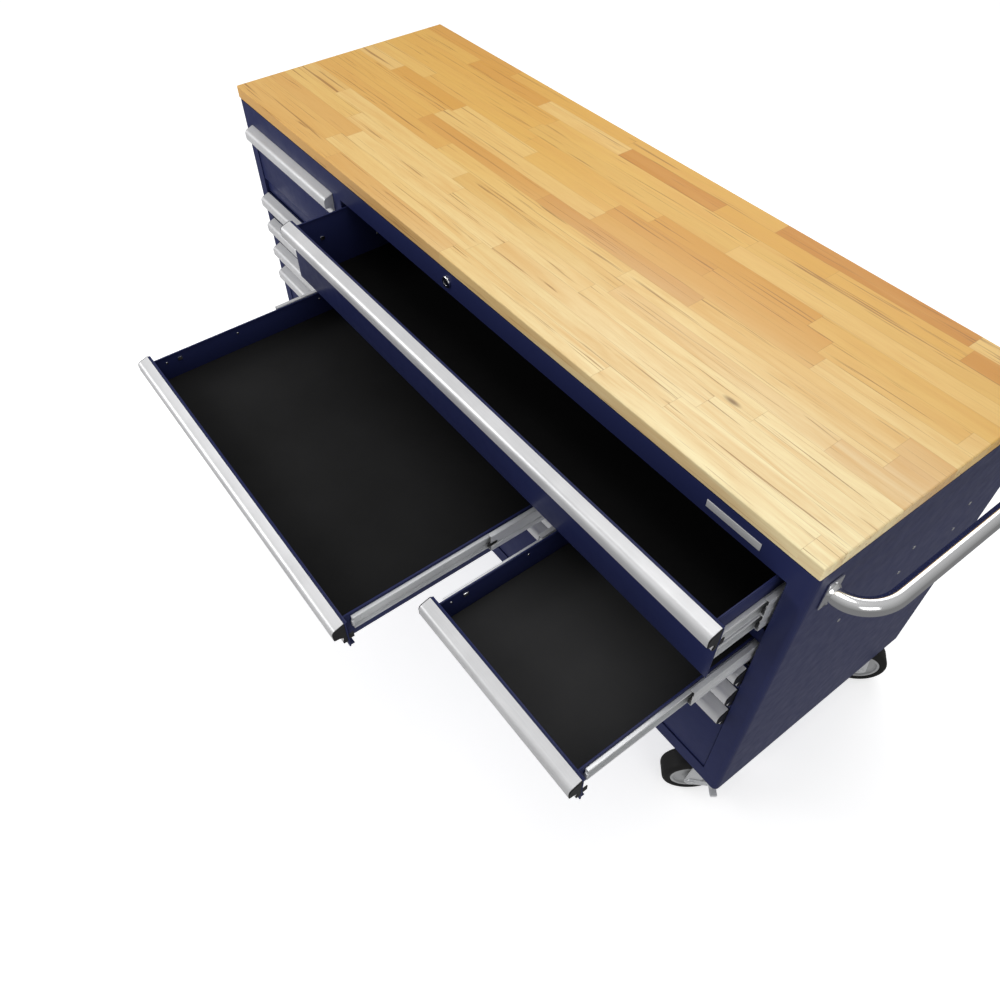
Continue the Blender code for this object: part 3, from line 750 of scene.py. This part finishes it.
def slide_pair(name, side, drop, suffix=""):
    """The telescopic slide on one side of a drawer: cabinet, middle and drawer members."""
    low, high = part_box(name + "_box")
    pull_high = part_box(name + "_pull")[1]
    front = pull_high.y + GAP
    top = pull_high.z - drop
    bottom = top - SLIDE_HEIGHT
    middle_z = (top + bottom) / 2
    edge, way = (low.x, 1) if side == "left" else (high.x, -1)
    label = f"{name}_{side}{suffix}"

    form = Form()
    outline = channel(edge - way * 0.0015, edge + way * 0.0085, top + 0.0016, bottom - 0.0016, 0.0034)
    form.section(outline, FACE + 0.020, FACE + 0.560, 1)
    for depth in (0.05, 0.27, 0.52):
        spot = (edge + way * (0.0003 + SLIDE_STEEL), FACE + depth, middle_z)
        dome(form, spot, (way, 0, 0), 0.0036, 0.0012)
    form.piece(label + "_cabinet_member", SLIDE_METAL, "cabinet", "zinc")

    form = Form()
    outline = channel(edge + way * 0.0169, edge + way * 0.0092, top - 0.0048, bottom + 0.0048, 0.0030)
    form.section(outline, front + 0.020, front + 0.542, 1)
    for depth in (0.038, 0.210, 0.480):
        spot = (edge + way * (0.0151 - SLIDE_STEEL), front + depth, middle_z)
        dome(form, spot, (-way, 0, 0), 0.0030, 0.0010)
    form.piece(label + "_drawer_member", SLIDE_METAL, name, "zinc")

    form = Form()
    reach = sorted((edge + way * 0.0088, edge + way * 0.0150))
    stop_low = (reach[0], front + 0.0170, middle_z - 0.007)
    form.slab(stop_low, (reach[1], front + 0.0225, middle_z + 0.007), 0.001)
    form.piece(label + "_stop", SLIDE_METAL, name, "zinc")

    if name not in OPEN_AT_REST:
        return
    body = f"{name}_slide_{side}"
    member_low, member_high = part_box(body)
    form = Form()
    outline = channel(edge + way * 0.0030, edge + way * 0.0128, top, bottom, 0.0034)
    form.section(outline, member_low.y, member_high.y, 1)
    form.piece(label + "_middle_member", SLIDE_METAL, body, "zinc", () if suffix else [body])
    form = Form()
    inner = sorted((edge + way * 0.0066, edge + way * 0.0084))
    y = member_low.y
    for up in (1, -1):
        z = middle_z + up * (SLIDE_HEIGHT / 2 - 0.0050)
        form.slab((inner[0], y + 0.004, z - 0.0024), (inner[1], y + 0.15, z + 0.0024), 0.0006)
    latch = sorted((edge + way * 0.0048, edge + way * 0.0086))
    latch_low = (latch[0], y - 0.006, middle_z - 0.0085)
    form.slab(latch_low, (latch[1], y + 0.016, middle_z + 0.0020), 0.001)
    form.piece(label + "_ball_cage", BLACK_PLASTIC, body, "zinc")


def slides():
    """A slide pair for every drawer, and two for the wide one."""
    for name in DRAWERS:
        for side in ("left", "right"):
            if name == "wide_drawer":
                slide_pair(name, side, WIDE_SLIDE_TOP)
                slide_pair(name, side, WIDE_SLIDE_TOP + 0.042, "_lower")
            elif name == "left_drawer_1":
                slide_pair(name, side, WIDE_SLIDE_TOP)
            else:
                slide_pair(name, side, SLIDE_TOP)


# ---------------------------------------------------------------- casters


def caster_frame(name):
    """Centre of the wheel and the way its axle points."""
    joints = {joint["name"]: joint for joint in frame["joints"]}
    spin = joints[name + "_wheel_spin"]
    return Vector(spin["pos_m"]), Vector(spin["axis"]).normalized()


def wheel(name):
    """Tyre with round shoulders, and a light grey hub with a raised rim and boss."""
    centre, axle = caster_frame(name)
    body = name + "_wheel"
    radius, half = 0.0632, 0.0252
    shoulder = 0.011
    rim = 0.0455
    tread = arc((radius - shoulder, half - shoulder), (shoulder, shoulder), 0, 90, 9)
    upper = tread + [(rim + 0.004, half), (rim, half - 0.0022)]
    profile = upper + [(r, -h) for r, h in reversed(upper)]
    form = Form()
    form.ring_turned(profile, centre, axle, 72)
    form.piece(name + "_tyre", TYRE_RUBBER, body, "rubber", [name + "_wheel"], 50)
    form = Form()
    face = [(0.0066, 0.0250), (0.0135, 0.0250), (0.0150, 0.0230), (0.0170, 0.0175), (0.0350, 0.0165)]
    face += [(0.0385, 0.0185), (0.0400, 0.0222), (0.0450, 0.0226), (rim - 0.0002, 0.0210)]
    profile = face + [(r, -h) for r, h in reversed(face)]
    form.ring_turned(profile, centre, axle, 64)
    form.piece(name + "_hub", HUB_PLASTIC, body, "rubber", (), 30)


FORK_INNER, FORK_OUTER = 0.0287, 0.0322
FORK_TOP = 0.146
FORK_FRONT = 0.034
FORK_EYE = 0.016
PLATE_UNDERSIDE = 0.160
PLATE_BOLTS = (0.041, 0.035)
LEVER_FACES = (-0.0329, -0.0357)
AXLE_REACH = 0.0382


def build_caster(name, swivels):
    """Wheel, pressed yoke with its swivel race, axle bolt and nuts, plate bolts, and a brake."""
    wheel(name)
    centre, axle = caster_frame(name)
    joints = {joint["name"]: joint for joint in frame["joints"]}
    if swivels:
        body, out = name + "_swivel", axle
        king = Vector(joints[name + "_swivel_turn"]["pos_m"])
    else:
        body, out = "cabinet", Vector((0, 1, 0))
        king = centre.copy()
    king.z = 0
    forward = out.cross(Vector((0, 0, 1)))
    trail = (centre - king).dot(forward)
    wheel_z = centre.z

    def at(along, across, up):
        return king + forward * along + out * across + Vector((0, 0, up))

    rear = 0.25 * trail - FORK_FRONT
    leg = arc((trail, wheel_z), (FORK_EYE, FORK_EYE), 195, 345, 14)
    leg += [(FORK_FRONT, FORK_TOP), (rear, FORK_TOP)]
    form = Form()
    for side in (1, -1):
        upright_plate(form, at, leg, side * FORK_INNER, side * FORK_OUTER)
    bridge = [(FORK_FRONT, -FORK_OUTER), (FORK_FRONT, FORK_OUTER)]
    bridge += [(rear, FORK_OUTER), (rear, -FORK_OUTER)]
    heights = (0.1392, 0.1400, FORK_TOP - 0.0008, FORK_TOP)
    form.loft([[at(along, across, z) for along, across in bridge] for z in heights])
    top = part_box(name + "_fork")[1].z
    head = [(0.029, -0.001), (0.030, 0.002), (0.030, 0.006), (0.0265, 0.008), (0.0265, 0.0095)]
    head += [(0.0295, 0.011), (0.0295, top - FORK_TOP)]
    form.turned(head, at(0, 0, FORK_TOP), (0, 0, 1), 48)
    form.piece(name + "_yoke", FORK_METAL, body, "fork_steel", [name + "_fork"], 30)

    form = Form()
    near = LEVER_FACES[1] - 0.0002 if swivels else -FORK_OUTER
    for start, side in ((FORK_OUTER, 1), (near, -1)):
        thick = AXLE_REACH - abs(start)
        nut = [(0.0092, 0.0), (0.0092, thick * 0.62), (0.0080, thick * 0.78)]
        nut += [(0.0048, thick * 0.80), (0.0044, thick)]
        form.turned(nut, at(trail, start, wheel_z), out * side, 6)
    form.piece(name + "_axle_nuts", SLIDE_METAL, body, "zinc")

    form = Form()
    bolt = [(0.0065, 0.0), (0.0065, 0.0042), (0.0055, 0.0052)]
    for x in (king.x - PLATE_BOLTS[0], king.x + PLATE_BOLTS[0]):
        for y in (king.y - PLATE_BOLTS[1], king.y + PLATE_BOLTS[1]):
            form.turned(bolt, (x, y, PLATE_UNDERSIDE), (0, 0, -1), 6)
    form.piece(name + "_plate_bolts", SLIDE_METAL, "cabinet", "zinc")
    if swivels:
        brake_lever(name, at, trail, wheel_z)


def upright_plate(form, at, outline, inner, outer):
    """A flat pressed plate beside the wheel with its outer edge eased."""
    middle = [sum(values) / len(outline) for values in zip(*outline)]
    rings = []
    for part, shrink in ((0.0, 0.0), (0.15, 0.0), (0.8, 0.0), (1.0, 0.025)):
        across = inner + (outer - inner) * part
        ring = [(a + (middle[0] - a) * shrink, u + (middle[1] - u) * shrink) for a, u in outline]
        rings.append([at(a, across, u) for a, u in ring])
    form.loft(rings)


def brake_lever(name, at, trail, wheel_z):
    """Side lever on the axle bolt with a ribbed foot tab, that locks the wheel when it is down."""
    body = name + "_brake"
    outline = arc((trail, wheel_z), (0.0118, 0.0118), 60, 285, 18)
    outline += [(0.002, wheel_z - 0.0187), (0.0175, wheel_z - 0.0187), (0.0175, wheel_z - 0.0152)]
    outline += [(0.002, wheel_z - 0.0042)]
    form = Form()
    upright_plate(form, at, outline, *LEVER_FACES)
    along, across = 0.0095, -0.0475
    foot = rounded_plate((along, across), (0.0082, 0.0133), 0.0035)
    low, high = wheel_z - 0.0189, wheel_z - 0.0161
    rings = []
    for z, shrink in ((low, 0.05), (low + 0.0005, 0.0), (high - 0.0005, 0.0), (high, 0.05)):
        rings.append([at(a + (along - a) * shrink, b + (across - b) * shrink, z) for a, b in foot])
    form.loft(rings)
    for step in range(5):
        near, far = -0.0377 - step * 0.0045, -0.0393 - step * 0.0045
        rib = [(0.0035, far), (0.0155, far), (0.0155, near), (0.0035, near)]
        form.loft([[at(a, b, z) for a, b in rib] for z in (high - 0.0002, high + 0.0005)])
    form.piece(name + "_lever", FORK_METAL, body, "fork_steel", [name + "_brake"], 40)


# ---------------------------------------------------------------- stage

FLOOR_GLOW = 0.62
WORLD_LIGHT = 0.6
CAMERA_PLACE = Vector((RIGHT + 0.27083, FACE - 0.75427, STEEL_TOP + 0.98613))
CAMERA_VIEW = Vector((-0.51396, 0.38096, -0.76858))
CAMERA_ROLL = math.radians(-0.425)
CAMERA_LENS = 30.6


def camera():
    data = bpy.data.cameras.new("camera")
    data.lens = CAMERA_LENS
    data.sensor_width = 36.0
    obj = bpy.data.objects.new("camera", data)
    aim = CAMERA_VIEW.to_track_quat("-Z", "Y").to_matrix()
    turn = aim @ Matrix.Rotation(CAMERA_ROLL, 3, "Z")
    obj.matrix_world = Matrix.Translation(CAMERA_PLACE) @ turn.to_4x4()
    bpy.context.scene.collection.objects.link(obj)
    bpy.context.scene.camera = obj


def area_light(name, place, target, size, power):
    data = bpy.data.lights.new(name, "AREA")
    data.shape = "RECTANGLE"
    data.size, data.size_y = size
    data.energy = power
    obj = bpy.data.objects.new(name, data)
    obj.location = place
    obj.rotation_euler = (Vector(target) - Vector(place)).to_track_quat("-Z", "Y").to_euler()
    bpy.context.scene.collection.objects.link(obj)


def stage():
    """A pale glowing floor, four soft lights and the studio around them."""
    bpy.context.scene.view_settings.view_transform = "Standard"
    bpy.ops.mesh.primitive_plane_add(size=30.0, location=(0, 0, -0.0004))
    floor = bpy.context.object
    floor.name = "floor"
    floor.visible_glossy = False
    look = Shading("pale_floor", 0.95)
    look.set("Base Color", (0.75, 0.75, 0.75, 1))
    look.set("Specular IOR Level", 0.0)
    look.set("Emission Color", (1, 1, 1, 1))
    look.set("Emission Strength", FLOOR_GLOW)
    floor.data.materials.append(look.material)
    studio_world()
    area_light("rear_panel", (-0.7, 2.4, 3.1), (0.3, 0.1, 0.95), (2.6, 1.6), 24)
    area_light("overhead", (0.2, 0.2, 3.6), (0.0, 0.0, 0.9), (2.4, 1.6), 26)
    area_light("front_left", (-2.4, -2.8, 2.4), (0.0, -0.3, 0.6), (1.8, 1.4), 62)
    area_light("right", (3.2, -0.6, 2.3), (0.6, 0.2, 0.6), (1.4, 1.2), 8)


def studio_world():
    """A pale backdrop for the camera, and a studio that is dark below for everything else."""
    world = bpy.data.worlds.new("studio")
    bpy.context.scene.world = world
    world.use_nodes = True
    tree = world.node_tree
    light = tree.nodes["Background"]
    light.inputs["Strength"].default_value = WORLD_LIGHT
    ramp = tree.nodes.new("ShaderNodeValToRGB")
    parts = tree.nodes.new("ShaderNodeSeparateXYZ")
    where = tree.nodes.new("ShaderNodeTexCoord")
    height = tree.nodes.new("ShaderNodeMapRange")
    height.inputs["From Min"].default_value = -1.0
    tree.links.new(where.outputs["Generated"], parts.inputs[0])
    tree.links.new(parts.outputs[2], height.inputs[0])
    tree.links.new(height.outputs[0], ramp.inputs[0])
    tree.links.new(ramp.outputs[0], light.inputs["Color"])
    elements = ramp.color_ramp.elements
    elements[0].position, elements[0].color = 0.0, (0.34, 0.34, 0.35, 1)
    elements[1].position, elements[1].color = 1.0, (1, 1, 1, 1)
    for position, grey in ((0.47, 0.34), (0.53, 0.45), (0.75, 0.65)):
        elements.new(position).color = (grey, grey, grey, 1)
    backdrop = tree.nodes.new("ShaderNodeBackground")
    backdrop.inputs["Color"].default_value = (1, 1, 1, 1)
    seen = tree.nodes.new("ShaderNodeLightPath")
    choose = tree.nodes.new("ShaderNodeMixShader")
    tree.links.new(seen.outputs["Is Camera Ray"], choose.inputs[0])
    tree.links.new(light.outputs[0], choose.inputs[1])
    tree.links.new(backdrop.outputs[0], choose.inputs[2])
    tree.links.new(choose.outputs[0], tree.nodes["World Output"].inputs[0])


def main():
    camera()
    stage()
    keep_cad_nodes()
    opening_returns()
    body_rivets()
    badge_plate()
    lock()
    push_handle()
    for name in DRAWERS:
        pull(name)
        tray(name)
    slides()
    for name in FIXED_CASTERS:
        build_caster(name, False)
    for name in SWIVEL_CASTERS:
        build_caster(name, True)


main()
